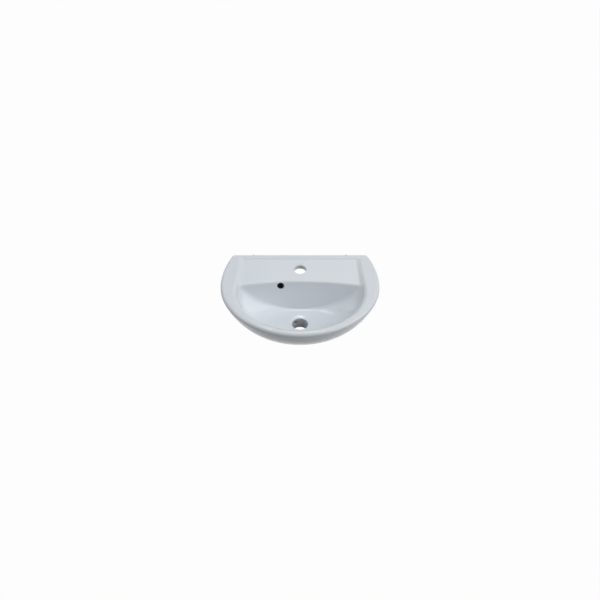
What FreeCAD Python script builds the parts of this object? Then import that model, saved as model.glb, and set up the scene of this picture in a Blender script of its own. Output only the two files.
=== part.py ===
import FreeCAD, Part
import math
import os

# Small wall hung basin: a D-shaped vitreous china casting and the kit that bolts it to the wall.
# Millimetres. X runs along the wall, Y = 0 is the wall face and the basin hangs at negative Y.
# The origin is on the wall face, midway between the two fixing bolts. Z is up.

# Rim and skirt
basin_width = 450.0          # across the widest line of the rim
basin_depth = 330.0          # wall face to the front of the rim
widest_line = 122.0          # wall face to the widest line of the rim
wall_edge_inset = 26.5       # widest line to the end of the straight rear edge, sideways
rim_round = 9.0              # outer edge of the rim
rim_round_steps = 5          # narrow bands that the rounding is made of
skirt_height = 30.0          # straight tapered band under the rim
skirt_side_lean = 0.43       # side of the skirt comes in this much for each mm down
skirt_front_lean = 0.38      # the same at the front
wall_side_lean = 0.34        # the same along the wall face
underside_depth = 112.0      # rim to the flat under the bowl
underside_half_width = 112.0
underside_half_length = 50.0
underside_wall_half = 80.0   # half of the mounting wall's lowest edge

# Bowl
bowl_side_rim = 44.0         # side of the rim to the side of the bowl
bowl_front_gap = 20.0        # front of the rim to the front of the bowl
bowl_middle = 150.0          # wall face to the bowl's widest line
bowl_middle_lean = 0.1       # that line moves forward this much for each mm down
bowl_wall_height = 55.0      # straight leaning part of the bowl's side
bowl_side_lean = 0.30        # side of the bowl comes in this much for each mm down
bowl_front_lean = 0.42       # the same at the front
bowl_depth = 97.0            # rim to the floor beside the waste
bowl_turn = 3.2              # squareness of the turn from the side into the floor
bowl_edge_round = 6.0        # rim into the bowl
back_wall_gap = 102.0        # wall face to the top of the bowl's back wall, at the centre
back_wall_lean = 10.0        # degrees, foot of the back wall forward
back_wall_radius = 990.0     # its gentle curve, seen from above
bowl_rear_reach = 138.0      # its widest line to the end of the oval that the back wall cuts, at the rim
bowl_low_reach = 56.0        # the same low down
low_reach_depth = 75.0       # depth from which that reach holds
back_wall_foot_round = 18.0  # back wall into the sides and the floor
casting_wall = 12.0          # china behind the bowl

# Tap deck
lip_width = 12.0             # rim left standing along the wall
deck_rear_drop = 3.0         # rim to the deck at the lip
deck_fall = 3.5              # degrees, down towards the bowl
deck_rear_inset = 47.0       # side of the basin to the side of the deck, along the lip
deck_front_inset = 38.0      # the same at the front of the recess
deck_side_slope = 13.0       # width of the slope from the rim down to the deck, at the sides
deck_rear_slope = 5.0        # the same along the lip
deck_front_line = 132.0      # wall face to the front of the recess, inside the bowl
deck_corner = 16.0
deck_thickness = 15.0
deck_edge_round = 4.0        # deck over the bowl's back wall

# Holes in the china
tap_hole_diameter = 35.0
tap_hole_gap = 57.0          # wall face to the tap hole
tap_hole_bevel = 1.5
waste_hole_diameter = 45.0
waste_gap = 187.0            # wall face to the waste hole
waste_dish_diameter = 68.0   # seat for the waste flange
waste_dish_depth = 2.5
waste_hole_bevel = 2.0
boss_diameter = 70.0         # outlet under the bowl
boss_length = 38.0           # floor to the face that the back nut tightens on
boss_root_round = 14.0
overflow_diameter = 20.0
overflow_offset = -55.4      # left of the centre
overflow_drop = 24.0         # rim to the overflow hole
overflow_bevel = 1.5
passage_diameter = 14.0      # overflow passage to the waste outlet
passage_wall = 7.0

# Mounting wall and the space behind the bowl
mounting_wall = 14.0
cheek = 14.0                 # china left beside the open space
fixing_inset = 85.0          # side of the basin to the fixing holes
fixing_drop = 60.0           # rim to the fixing holes
fixing_hole_diameter = 22.0
space_bevel = 6.0            # inside edges of the open space

# Wall fixings
bolt_diameter = 10.0
bolt_into_wall = 62.0
bolt_past_nut = 7.0
bolt_chamfer = 1.0
screw_core_diameter = 7.6    # wood screw end of the hanger bolt
screw_length = 56.0
plug_diameter = 14.0
plug_length = 66.0
plug_slot = 1.6
plug_slot_start = 30.0       # wall face to where the slots begin
plug_tip_length = 6.0
plug_tip_taper = 1.5
bush_flange_diameter = 33.0
bush_flange = 3.0
bush_chamfer = 0.8
washer_diameter = 28.0
washer_thickness = 2.0
nut_across_flats = 17.0
nut_height = 8.0
fit_gap = 0.3                # bolt in bush and nut, bush in china

rim_top = fixing_drop
waste_y = -waste_gap
wall_edge_half = basin_width / 2 - wall_edge_inset
bowl_half_width = basin_width / 2 - bowl_side_rim
fixing_half = basin_width / 2 - fixing_inset


def quarter_oval(centre, start, end):
    """Quarter of an ellipse from centre + start to centre + end, as one exact curve."""
    curve = Part.BezierCurve()
    curve.setPoles([centre + start, centre + start + end, centre + end])
    curve.setWeight(2, math.sqrt(0.5))
    return curve.toShape()


def oval(depth, half_width, middle, front_reach, rear_reach):
    """Level oval at a depth under the rim, with its own reach to the front and to the rear."""
    centre = FreeCAD.Vector(0, -middle, rim_top - depth)
    right = FreeCAD.Vector(half_width, 0, 0)
    front = FreeCAD.Vector(0, -front_reach, 0)
    rear = FreeCAD.Vector(0, rear_reach, 0)
    edges = [quarter_oval(centre, right, rear),
             quarter_oval(centre, rear, -right),
             quarter_oval(centre, -right, front),
             quarter_oval(centre, front, right)]
    return Part.Wire(edges)


def blend(start, end, share):
    return start + (end - start) * share


def outer_oval(depth, half_width, front, middle, wall_half_width):
    """Oval whose sides pass through wall_half_width where they meet the wall face."""
    rear_reach = middle / math.sqrt(1 - (wall_half_width / half_width) ** 2)
    return oval(depth, half_width, middle, front - middle, rear_reach)


def lost_to_round(lean):
    """How much rounding the rim's edge over a leaning skirt takes off the overall size."""
    return rim_round * (lean + math.hypot(1, lean) - 1)


def rim_oval(turn):
    """Level line on the rounded edge of the rim: turn runs from the flat top to the widest line."""
    depth = rim_round * (1 - math.cos(turn))
    inset = rim_round * (1 - math.sin(turn))
    return outer_oval(depth, basin_width / 2 - inset, basin_depth - inset, widest_line, wall_edge_half - inset)


def skirt_oval(depth, share):
    """Level line on the skirt and the turn under it; share is how far the turn has closed in."""
    rim_half_width = basin_width / 2 + lost_to_round(skirt_side_lean)
    rim_front = basin_depth + lost_to_round(skirt_front_lean)
    rim_wall_half = wall_edge_half + lost_to_round(wall_side_lean)
    half_width = blend(rim_half_width - skirt_side_lean * depth, underside_half_width, share)
    front = blend(rim_front - skirt_front_lean * depth, waste_gap + underside_half_length, share)
    middle = blend(widest_line, waste_gap, share)
    wall_half_width = blend(rim_wall_half - wall_side_lean * depth, underside_wall_half, share)
    return outer_oval(depth, half_width, front, middle, wall_half_width)


def outer_body():
    """Rounded rim, straight leaning skirt, then a rounded turn to the flat under the bowl."""
    sections = [rim_oval(math.pi / 2 * step / rim_round_steps) for step in range(rim_round_steps + 1)]
    sections.append(skirt_oval(rim_round * (1 + math.sin(math.atan(skirt_side_lean))), 0.0))
    for angle in (0, 12, 23, 33, 42, 51, 59, 67, 75, 82, 90):
        turn = math.radians(angle)
        depth = blend(skirt_height, underside_depth, math.sin(turn))
        sections.append(skirt_oval(depth, 1 - math.cos(turn)))
    body = Part.makeLoft(sections, True, True)
    behind = Part.makeBox(4 * basin_width, 4 * basin_depth, 4 * basin_depth,
                          FreeCAD.Vector(-2 * basin_width, 0, -2 * basin_depth))
    return body.cut(behind)


def bowl_oval(depth, share):
    """Oval of the bowl's hollow at a depth; share is how far it has closed in on the waste."""
    end_radius = 0.45 * waste_hole_diameter
    rim_front = basin_depth - bowl_front_gap
    rise = max(0.0, 1 - depth / low_reach_depth)
    reach = blend(bowl_low_reach, bowl_rear_reach, rise ** 2)
    half_width = blend(bowl_half_width - bowl_side_lean * depth, end_radius, share)
    front = blend(rim_front - bowl_front_lean * depth, waste_gap + end_radius, share)
    middle = blend(bowl_middle + bowl_middle_lean * depth, waste_gap, share)
    return oval(depth, half_width, middle, front - middle, blend(reach, end_radius, share ** 3))


def bowl_hollow():
    """Straight leaning sides that turn into the floor, cut off by the leaning back wall."""
    sections = [bowl_oval(-rim_round, 0.0)]
    for step in range(4):
        sections.append(bowl_oval(bowl_wall_height * step / 4, 0.0))
    for share in (0.0, 0.03, 0.1, 0.2, 0.3, 0.4, 0.5, 0.6, 0.72, 0.86, 1.0):
        fall = (1 - (1 - share) ** bowl_turn) ** (1 / bowl_turn)
        sections.append(bowl_oval(blend(bowl_wall_height, bowl_depth, fall), share))
    hollow = Part.makeLoft(sections, True).common(in_front_of_back_wall(0))
    foot = [edge for face in hollow.Faces if isinstance(face.Surface, Part.Cylinder)
            for edge in face.Edges if edge.BoundBox.ZMin < rim_top]
    return hollow.makeFillet(back_wall_foot_round, foot)


def back_wall_line(across, depth):
    """Distance from the wall face to the bowl's back wall, at a place across and a depth under the rim."""
    lean = math.radians(back_wall_lean)
    curve = back_wall_radius - math.sqrt(back_wall_radius ** 2 - across ** 2)
    return back_wall_gap + curve / math.cos(lean) + depth * math.tan(lean)


def in_front_of_back_wall(offset):
    """Everything in front of the bowl's leaning, gently curved back wall, or of a wall behind it."""
    lean = math.radians(back_wall_lean)
    height = 6 * basin_depth
    middle = FreeCAD.Vector(0, -back_wall_gap - back_wall_radius / math.cos(lean), rim_top)
    axis = FreeCAD.Vector(0, -math.sin(lean), -math.cos(lean))
    return Part.makeCylinder(back_wall_radius + offset, height, middle - axis * (height / 2), axis)


def deck_depth(gap):
    """Depth of the deck under the rim, at a distance from the wall face."""
    return deck_rear_drop + (gap - lip_width) * math.tan(math.radians(deck_fall))


def corner_curve(start, corner, end):
    """Rounded corner that leaves both straight sides along their own direction."""
    curve = Part.BezierCurve()
    curve.setPoles([start, corner, end])
    curve.setWeight(2, math.sqrt(0.5))
    return curve.toShape()


def deck_side(side, side_in, rear_in, depth_at):
    """Half of the deck's outline, from its rear line round to its front line."""
    rear = lip_width + rear_in
    rear_half = basin_width / 2 - deck_rear_inset - side_in
    front_half = basin_width / 2 - deck_front_inset - side_in
    slant = math.atan2(front_half - rear_half, deck_front_line - rear)
    length = math.hypot(front_half - rear_half, deck_front_line - rear)
    rear_run = deck_corner * math.tan((math.pi / 2 - slant) / 2)
    front_run = deck_corner * math.tan((math.pi / 2 + slant) / 2)

    def place(across, gap):
        return FreeCAD.Vector(side * across, -gap, rim_top - depth_at(gap))

    def on_side(run):
        return place(rear_half + run * math.sin(slant), rear + run * math.cos(slant))

    start = place(rear_half - rear_run, rear)
    end = place(front_half - front_run, deck_front_line)
    edges = [corner_curve(start, on_side(0), on_side(rear_run)),
             Part.LineSegment(on_side(rear_run), on_side(length - front_run)).toShape(),
             corner_curve(on_side(length - front_run), on_side(length), end)]
    return start, edges, end


def deck_outline(side_in, rear_in, depth_at):
    """Closed outline of the deck: straight sides that spread towards the bowl, four rounded corners."""
    right_start, right, right_end = deck_side(1, side_in, rear_in, depth_at)
    left_start, left, left_end = deck_side(-1, side_in, rear_in, depth_at)
    front = Part.LineSegment(right_end, left_end).toShape()
    rear = Part.LineSegment(left_start, right_start).toShape()
    return Part.Wire(right + [front] + left[::-1] + [rear])


def deck_recess():
    at_rim = deck_outline(0, 0, lambda gap: 0.0)
    at_deck = deck_outline(deck_side_slope, deck_rear_slope, deck_depth)
    return Part.makeLoft([at_rim, at_deck], True, True)


def above_deck_slab():
    """Everything above the underside of the deck, which runs parallel to its top."""
    size = 4 * basin_width
    drop = deck_depth(0) + deck_thickness / math.cos(math.radians(deck_fall))
    slab = Part.makeBox(size, size, size, FreeCAD.Vector(-size / 2, -size / 2, rim_top - drop))
    slab.rotate(FreeCAD.Vector(0, 0, rim_top - drop), FreeCAD.Vector(1, 0, 0), deck_fall)
    return slab


def rear_space():
    """Open space under the deck, between the mounting wall and the back of the bowl."""
    side_in = skirt_side_lean * skirt_height + cheek
    plan = outer_oval(0, basin_width / 2 - side_in, basin_depth - side_in, widest_line,
                      wall_edge_half - side_in)
    space = Part.Face(plan).extrude(FreeCAD.Vector(0, 0, -2 * underside_depth))
    size = 4 * basin_width
    space = space.cut(Part.makeBox(size, size, size, FreeCAD.Vector(-size / 2, -mounting_wall, -size / 2)))
    space = space.cut(in_front_of_back_wall(casting_wall))
    space = space.cut(above_deck_slab())
    return space.makeChamfer(space_bevel, [edge for edge in space.Edges if edge.BoundBox.ZMax > 0])


def waste_boss():
    """Outlet under the bowl, as a turned profile whose root spreads in three slopes."""
    radius = boss_diameter / 2
    low = rim_top - bowl_depth - boss_length
    root = rim_top - underside_depth
    inside = rim_top - bowl_depth - 2
    corners = [FreeCAD.Vector(0, waste_y, inside), FreeCAD.Vector(0, waste_y, low),
               FreeCAD.Vector(radius, waste_y, low)]
    for angle in (0, 30, 60, 90):
        turn = math.radians(angle)
        corners.append(FreeCAD.Vector(radius + boss_root_round * (1 - math.cos(turn)), waste_y,
                                      root - boss_root_round * (1 - math.sin(turn))))
    corners += [FreeCAD.Vector(radius + boss_root_round, waste_y, inside), corners[0]]
    outline = Part.makePolygon(corners)
    return Part.Face(outline).revolve(FreeCAD.Vector(0, waste_y, 0), FreeCAD.Vector(0, 0, 1), 360)


def passage_run(radius):
    """Round passage that drops behind the bowl from the overflow, then runs under the floor to the waste."""
    behind = passage_diameter / 2 + passage_wall
    across = abs(overflow_offset)
    low = bowl_depth + behind

    def behind_wall(depth):
        return FreeCAD.Vector(overflow_offset, behind - back_wall_line(across, depth), rim_top - depth)

    top = behind_wall(overflow_drop - overflow_diameter / 4)
    corner = behind_wall(low)
    end = FreeCAD.Vector(0, waste_y, rim_top - low)
    ring = Part.Wire([Part.makeCircle(radius, top, corner - top)])
    mitred = 1
    return Part.makePolygon([top, corner, end]).makePipeShell([ring], True, True, mitred)


def overflow_hole():
    lean = math.radians(back_wall_lean)
    out = FreeCAD.Vector(0, -math.cos(lean), math.sin(lean))
    face = FreeCAD.Vector(overflow_offset, -back_wall_line(abs(overflow_offset), overflow_drop),
                          rim_top - overflow_drop)
    reach = passage_wall + passage_diameter / 2
    return Part.makeCylinder(overflow_diameter / 2, 2 * reach, face - out * reach, out)


def tap_hole():
    fall = math.radians(deck_fall)
    up = FreeCAD.Vector(0, -math.sin(fall), math.cos(fall))
    seat = FreeCAD.Vector(0, -tap_hole_gap, rim_top - deck_depth(tap_hole_gap))
    return Part.makeCylinder(tap_hole_diameter / 2, 3 * deck_thickness, seat - up * 1.5 * deck_thickness, up)


def round_edges(shape, radius, chosen):
    """Rounds the edges that the chosen test picks."""
    return shape.makeFillet(radius, [edge for edge in shape.Edges if chosen(edge)])


def at_rim(edge):
    box = edge.BoundBox
    return abs(box.ZMin - rim_top) < 0.01 and abs(box.ZMax - rim_top) < 0.01


def at_mouth(edge):
    """True for the sharp edge where the bowl opens through the level rim."""
    box = edge.BoundBox
    inside = max(box.XMax, -box.XMin) < bowl_half_width + 1
    return at_rim(edge) and inside and box.YMax < -mounting_wall


def at_deck_front(edge):
    """True for the long edge where the deck meets the bowl's back wall."""
    middle = edge.CenterOfMass
    near_wall = abs(middle.y + back_wall_line(edge.Length / 4, 0)) < 12
    return edge.Length > bowl_half_width and near_wall and middle.z < rim_top - deck_rear_drop


def circle_at(edge, radius, middle):
    """True for a round edge of a given radius whose middle lies near a point."""
    size = 2 * math.pi * radius
    return abs(edge.Length - size) < 0.05 * size and edge.CenterOfMass.distanceToPoint(middle) < 0.3 * radius


def waste_dish():
    """Shallow seat for the waste flange, with the waste hole below it."""
    floor = rim_top - bowl_depth
    radius = waste_dish_diameter / 2
    top = FreeCAD.Vector(0, waste_y, floor + waste_dish_depth)
    dish = Part.makeCone(radius - waste_dish_depth, radius + waste_dish_depth, 2 * waste_dish_depth,
                         FreeCAD.Vector(0, waste_y, floor - waste_dish_depth))
    bore = Part.makeCylinder(waste_hole_diameter / 2, 3 * boss_length, top, FreeCAD.Vector(0, 0, -1))
    return dish.fuse(bore)


def fixing_holes():
    holes = []
    for side in (-1, 1):
        start = FreeCAD.Vector(side * fixing_half, -2 * mounting_wall, 0)
        holes.append(Part.makeCylinder(fixing_hole_diameter / 2, 4 * mounting_wall, start,
                                       FreeCAD.Vector(0, 1, 0)))
    return holes


def glazed_edges():
    """Radius, middle and bevel of each hole's edge that glaze runs over."""
    tap = FreeCAD.Vector(0, -tap_hole_gap, rim_top - deck_depth(tap_hole_gap))
    overflow = FreeCAD.Vector(overflow_offset, -back_wall_line(abs(overflow_offset), overflow_drop),
                              rim_top - overflow_drop)
    waste = FreeCAD.Vector(0, waste_y, rim_top - bowl_depth - waste_dish_depth)
    return ((tap_hole_diameter / 2, tap, tap_hole_bevel),
            (overflow_diameter / 2, overflow, overflow_bevel),
            (waste_hole_diameter / 2, waste, waste_hole_bevel))


def ceramic_basin():
    basin = outer_body().cut(rear_space())
    basin = basin.fuse([waste_boss(), passage_run(passage_diameter / 2 + passage_wall)])
    basin = basin.cut(bowl_hollow())
    basin = round_edges(basin, bowl_edge_round, at_mouth)
    basin = basin.cut(deck_recess())
    basin = round_edges(basin, deck_edge_round, at_deck_front)
    basin = basin.cut([tap_hole(), overflow_hole(), waste_dish(), passage_run(passage_diameter / 2)])
    basin = basin.cut(fixing_holes())
    for radius, middle, bevel in glazed_edges():
        basin = basin.makeChamfer(bevel, [edge for edge in basin.Edges if circle_at(edge, radius, middle)])
    return basin


def hanger_bolt():
    """Bolt with a machine thread at the front and a pointed wood screw end in the wall, along Y."""
    front = -(mounting_wall + bush_flange + washer_thickness + nut_height + bolt_past_nut)
    screw_start = bolt_into_wall - screw_length
    radius = bolt_diameter / 2
    core = screw_core_diameter / 2
    outline = Part.makePolygon([FreeCAD.Vector(0, front, 0),
                                FreeCAD.Vector(radius - bolt_chamfer, front, 0),
                                FreeCAD.Vector(radius, front + bolt_chamfer, 0),
                                FreeCAD.Vector(radius, screw_start, 0),
                                FreeCAD.Vector(core, screw_start + 2, 0),
                                FreeCAD.Vector(core, bolt_into_wall - 2 * core, 0),
                                FreeCAD.Vector(0, bolt_into_wall, 0),
                                FreeCAD.Vector(0, front, 0)])
    return Part.Face(outline).revolve(FreeCAD.Vector(0, 0, 0), FreeCAD.Vector(0, 1, 0), 360)


def wall_plug():
    """Nylon plug flush with the wall face, split from its far end, tapered at its tip."""
    radius = plug_diameter / 2
    mouth = bolt_diameter / 2 + fit_gap
    bore = screw_core_diameter / 2 + fit_gap
    mouth_length = bolt_into_wall - screw_length + 2
    outline = Part.makePolygon([FreeCAD.Vector(mouth, 0, 0),
                                FreeCAD.Vector(radius, 0, 0),
                                FreeCAD.Vector(radius, plug_length - plug_tip_length, 0),
                                FreeCAD.Vector(radius - plug_tip_taper, plug_length, 0),
                                FreeCAD.Vector(bore, plug_length, 0),
                                FreeCAD.Vector(bore, mouth_length + 1, 0),
                                FreeCAD.Vector(mouth, mouth_length, 0),
                                FreeCAD.Vector(mouth, 0, 0)])
    plug = Part.Face(outline).revolve(FreeCAD.Vector(0, 0, 0), FreeCAD.Vector(0, 1, 0), 360)
    for size_x, size_z in ((plug_slot, 2 * plug_diameter), (2 * plug_diameter, plug_slot)):
        slot = Part.makeBox(size_x, plug_length, size_z, FreeCAD.Vector(-size_x / 2, plug_slot_start, -size_z / 2))
        plug = plug.cut(slot)
    return plug


def fixing_bush():
    """Flanged plastic sleeve that keeps the bolt off the china."""
    sleeve = Part.makeCylinder(fixing_hole_diameter / 2 - fit_gap, mounting_wall - fit_gap,
                               FreeCAD.Vector(0, -mounting_wall, 0), FreeCAD.Vector(0, 1, 0))
    flange = Part.makeCylinder(bush_flange_diameter / 2, bush_flange,
                               FreeCAD.Vector(0, -mounting_wall - bush_flange, 0), FreeCAD.Vector(0, 1, 0))
    outer_edge = [edge for edge in flange.Edges if edge.isClosed()
                  and edge.CenterOfMass.y < -mounting_wall - bush_flange / 2]
    bush = flange.makeChamfer(bush_chamfer, outer_edge)
    hole = Part.makeCylinder(bolt_diameter / 2 + fit_gap, 4 * mounting_wall,
                             FreeCAD.Vector(0, -2 * mounting_wall, 0), FreeCAD.Vector(0, 1, 0))
    return bush.fuse(sleeve).cut(hole)


def washer():
    back = -(mounting_wall + bush_flange)
    start = FreeCAD.Vector(0, back - washer_thickness, 0)
    disc = Part.makeCylinder(washer_diameter / 2, washer_thickness, start, FreeCAD.Vector(0, 1, 0))
    hole = Part.makeCylinder(bolt_diameter / 2 + fit_gap, washer_thickness, start, FreeCAD.Vector(0, 1, 0))
    return disc.cut(hole)


def hex_nut():
    """Hex nut with its corners turned off on both faces."""
    back = -(mounting_wall + bush_flange + washer_thickness)
    corner = nut_across_flats / math.sqrt(3)
    points = [FreeCAD.Vector(corner * math.cos(math.radians(60 * turn)), back,
                             corner * math.sin(math.radians(60 * turn))) for turn in range(7)]
    nut = Part.Face(Part.makePolygon(points)).extrude(FreeCAD.Vector(0, -nut_height, 0))
    flat = nut_across_flats / 2
    slope = (corner - flat) * 0.6
    turned = Part.makePolygon([FreeCAD.Vector(0, back, 0),
                               FreeCAD.Vector(flat, back, 0),
                               FreeCAD.Vector(corner, back - slope, 0),
                               FreeCAD.Vector(corner, back - nut_height + slope, 0),
                               FreeCAD.Vector(flat, back - nut_height, 0),
                               FreeCAD.Vector(0, back - nut_height, 0),
                               FreeCAD.Vector(0, back, 0)])
    nut = nut.common(Part.Face(turned).revolve(FreeCAD.Vector(0, 0, 0), FreeCAD.Vector(0, 1, 0), 360))
    hole = Part.makeCylinder(bolt_diameter / 2 + fit_gap, 3 * nut_height,
                             FreeCAD.Vector(0, back - 2 * nut_height, 0), FreeCAD.Vector(0, 1, 0))
    return nut.cut(hole)


os.makedirs("parts", exist_ok=True)
pieces = {"ceramic_basin": ceramic_basin()}
for side, name in ((-1, "left"), (1, "right")):
    place = FreeCAD.Vector(side * fixing_half, 0, 0)
    pieces["hanger_bolt_" + name] = hanger_bolt().translated(place)
    pieces["wall_plug_" + name] = wall_plug().translated(place)
    pieces["fixing_bush_" + name] = fixing_bush().translated(place)
    pieces["washer_" + name] = washer().translated(place)
    pieces["hex_nut_" + name] = hex_nut().translated(place)
for name, piece in pieces.items():
    piece.exportStep("parts/" + name + ".step")
    print(name, piece.ShapeType, piece.isValid(), len(piece.Solids), round(piece.Volume))
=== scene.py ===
import bmesh
import bpy
import math
import numpy as np
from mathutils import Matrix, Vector


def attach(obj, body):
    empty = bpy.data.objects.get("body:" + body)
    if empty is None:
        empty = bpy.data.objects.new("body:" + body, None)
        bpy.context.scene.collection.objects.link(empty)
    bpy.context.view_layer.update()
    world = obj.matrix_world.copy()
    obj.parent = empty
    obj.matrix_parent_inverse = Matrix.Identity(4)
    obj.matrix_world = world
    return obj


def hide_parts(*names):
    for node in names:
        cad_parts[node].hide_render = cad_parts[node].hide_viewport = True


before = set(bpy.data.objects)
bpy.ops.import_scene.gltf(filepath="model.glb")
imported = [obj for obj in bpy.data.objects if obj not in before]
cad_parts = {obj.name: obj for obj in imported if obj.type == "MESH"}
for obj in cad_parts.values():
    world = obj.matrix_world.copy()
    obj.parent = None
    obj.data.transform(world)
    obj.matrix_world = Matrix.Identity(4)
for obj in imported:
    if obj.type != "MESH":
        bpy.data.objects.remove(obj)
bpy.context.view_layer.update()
mm = 0.001
print("frame loaded:", len(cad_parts), "nodes")

# Lengths of the shapes are in millimetres, and those of the materials, camera and lights in metres.
# The origin is on the wall face between the two bolts, X runs along the wall, the basin hangs at
# negative Y, and the rim is rimTop above the bolts.
# "gap" is a distance from the wall face, and "depth" a distance under the rim.

basin = dict(
    width=450.0, length=330.0, rimTop=60.0,
    widestLine=122.0, wallHalf=198.5, rimRound=9.0,
    wallRound=2.5, cornerRound=5.0,
    skirtHeight=30.0, sideLean=0.43, frontLean=0.38, wallLean=0.34,
    underDepth=112.0, underHalf=112.0, underFront=50.0, underWall=80.0,
    wasteGap=187.0, sharp=32)

bowl = dict(
    half=181.0, frontGap=20.0, middle=150.0, middleLean=0.1,
    wallHeight=48.0, rearWallHeight=2.0, sideLean=0.30, rearLean=0.10, frontLean=0.42, depth=97.0,
    turn=2.8, rearTurn=1.62, rearLine=118.0, frontLine=182.0,
    rearReach=150.0, lowReach=110.0, lowDepth=75.0, endRadius=20.25,
    rearHold=6, wallGap=102.0, wallLean=math.radians(16), wallRadius=990.0,
    footRound=6.0, mouthRound=9.5, mouthStart=112.0, mouthEnd=140.0)

deck = dict(
    lip=11.5, rearDrop=4.0, fall=math.tan(math.radians(3.5)),
    rearHalf=178.0, frontHalf=187.0, sideSlope=17.0, rearSlope=6.5,
    frontLine=133.0, frontFade=17.0, edgeRound=4.5, underside=15.0)

waste = dict(
    radius=22.5, edgeRound=2.5, dishRadius=35.0, dishSlope=11.0, dishDepth=2.0,
    bossRadius=35.0, bossLow=135.0, bossRound=2.0, rootRound=14.0, boreRound=1.5)

# points along the outline, rows round the section, and how finely the surface is searched
grid = dict(
    arc=300, corner=10, wall=100, boreRows=6, edgeRows=7, floorRows=9, turnRows=19, skirtRows=4, rimRows=14,
    topRows=132, fineRows=520, plainDensity=1 / 8, bendDensity=1.8, evenOut=5, depthHalvings=26, cornerHalvings=50)


def smoothStep(value, start, end):
    # 3t^2 - 2t^3, with t running from 0 at start to 1 at end
    share = np.clip((value - start) / (end - start), 0, 1)
    return share * share * (3 - 2 * share)


def mix(start, end, share):
    # start at share 0, end at share 1
    return start + (end - start) * share


def roundMax(a, b, radius):
    # larger of two distances, with the corner between them rounded off to radius
    return np.minimum(-radius, np.maximum(a, b)) + np.hypot(np.maximum(radius + a, 0), np.maximum(radius + b, 0))


def deckSurface(x, gap):
    # recess under the rim: a sloping flat times soft S-shaped sides, |x| and gap give the place
    flat = deck["rearDrop"] + (gap - deck["lip"]) * deck["fall"]
    side = mix(deck["rearHalf"], deck["frontHalf"], (gap - deck["lip"]) / (deck["frontLine"] - deck["lip"]))
    sides = 1 - smoothStep(np.abs(x), side - deck["sideSlope"], side)
    rear = smoothStep(gap, deck["lip"], deck["lip"] + deck["rearSlope"])
    front = 1 - smoothStep(gap, deck["frontLine"] - deck["frontFade"], deck["frontLine"])
    return flat * sides * rear * front


def bowlSizes(depth, gap):
    # half width, middle and reach to front and rear of the bowl's level oval at each depth.
    # Towards the back wall the sides slope in from the rim, and further forward they stand and turn in low down.
    forward = smoothStep(gap, bowl["rearLine"], bowl["frontLine"])
    wall = mix(bowl["rearWallHeight"], bowl["wallHeight"], forward)
    turn = mix(bowl["rearTurn"], bowl["turn"], forward)
    lean = mix(bowl["rearLean"], bowl["sideLean"], forward)
    share = 1 - (1 - np.clip((depth - wall) / (bowl["depth"] - wall), 0, 0.9999999) ** turn) ** (1 / turn)
    half = mix(bowl["half"] - lean * depth, bowl["endRadius"], share)
    front = mix(basin["length"] - bowl["frontGap"] - bowl["frontLean"] * depth,
                basin["wasteGap"] + bowl["endRadius"], share)
    middle = mix(bowl["middle"] + bowl["middleLean"] * depth, basin["wasteGap"], share)
    rise = np.clip(1 - depth / bowl["lowDepth"], 0, 2) ** 2
    rear = mix(mix(bowl["lowReach"], bowl["rearReach"], rise), bowl["endRadius"], share ** bowl["rearHold"])
    return half, middle, front - middle, rear


def bowlDistance(x, gap, depth):
    # (q - 1) / |grad q| for q = hypot(x / half, (gap - middle) / reach): under 0 in the bowl
    step = 0.01
    inside = np.clip(depth, None, bowl["depth"] - 2 * step)
    half, middle, front, rear = bowlSizes(inside, gap)
    halfDown, middleDown, frontDown, rearDown = [(b - a) / step for a, b in
                                                 zip((half, middle, front, rear), bowlSizes(inside + step, gap))]
    ahead = gap > middle
    reach = np.where(ahead, front, rear)
    reachDown = np.where(ahead, frontDown, rearDown)
    across, along = x / half, (gap - middle) / reach
    q = np.maximum(np.hypot(across, along), 1e-6)
    down = -(across ** 2 * halfDown / half + along ** 2 * reachDown / reach + along * middleDown / reach)
    slope = np.sqrt((across / half) ** 2 + (along / reach) ** 2 + down ** 2) / q
    return (q - 1) / slope + np.clip(depth - inside, 0, None)


def backWallGap(x, depth, lean=bowl["wallLean"]):
    # wall face to the bowl's back wall: a leaning cylinder
    curve = bowl["wallRadius"] - np.sqrt(bowl["wallRadius"] ** 2 - x ** 2)
    return bowl["wallGap"] + curve / math.cos(lean) + depth * math.tan(lean)


def topDistance(x, gap, depth):
    # over 0 above the china: the deck and rim, cut by the bowl, each edge with its own rounding
    backWall = (backWallGap(x, depth) - gap) * math.cos(bowl["wallLean"])
    hollow = roundMax(bowlDistance(x, gap, depth), backWall, bowl["footRound"])
    flat = deckSurface(x, gap)
    step = 0.05
    slope = np.hypot((deckSurface(x + step, gap) - flat) / step, (deckSurface(x, gap + step) - flat) / step)
    edge = mix(deck["edgeRound"], bowl["mouthRound"], smoothStep(gap, bowl["mouthStart"], bowl["mouthEnd"]))
    return roundMax((flat - depth) / np.sqrt(1 + slope ** 2), -hollow, edge)


def topDepth(x, gap):
    # depth where topDistance is 0, found by halving, then the shallow dish round the waste
    low, high = np.full(x.shape, -1.0), np.full(x.shape, bowl["depth"] + 1)
    for halving in range(grid["depthHalvings"]):
        middle = (low + high) / 2
        above = topDistance(x, gap, middle) > 0
        low, high = np.where(above, middle, low), np.where(above, high, middle)
    away = np.hypot(x, gap - basin["wasteGap"])
    dish = 1 - smoothStep(away, waste["dishRadius"] - waste["dishSlope"], waste["dishRadius"])
    return (low + high) / 2 + waste["dishDepth"] * dish


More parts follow.
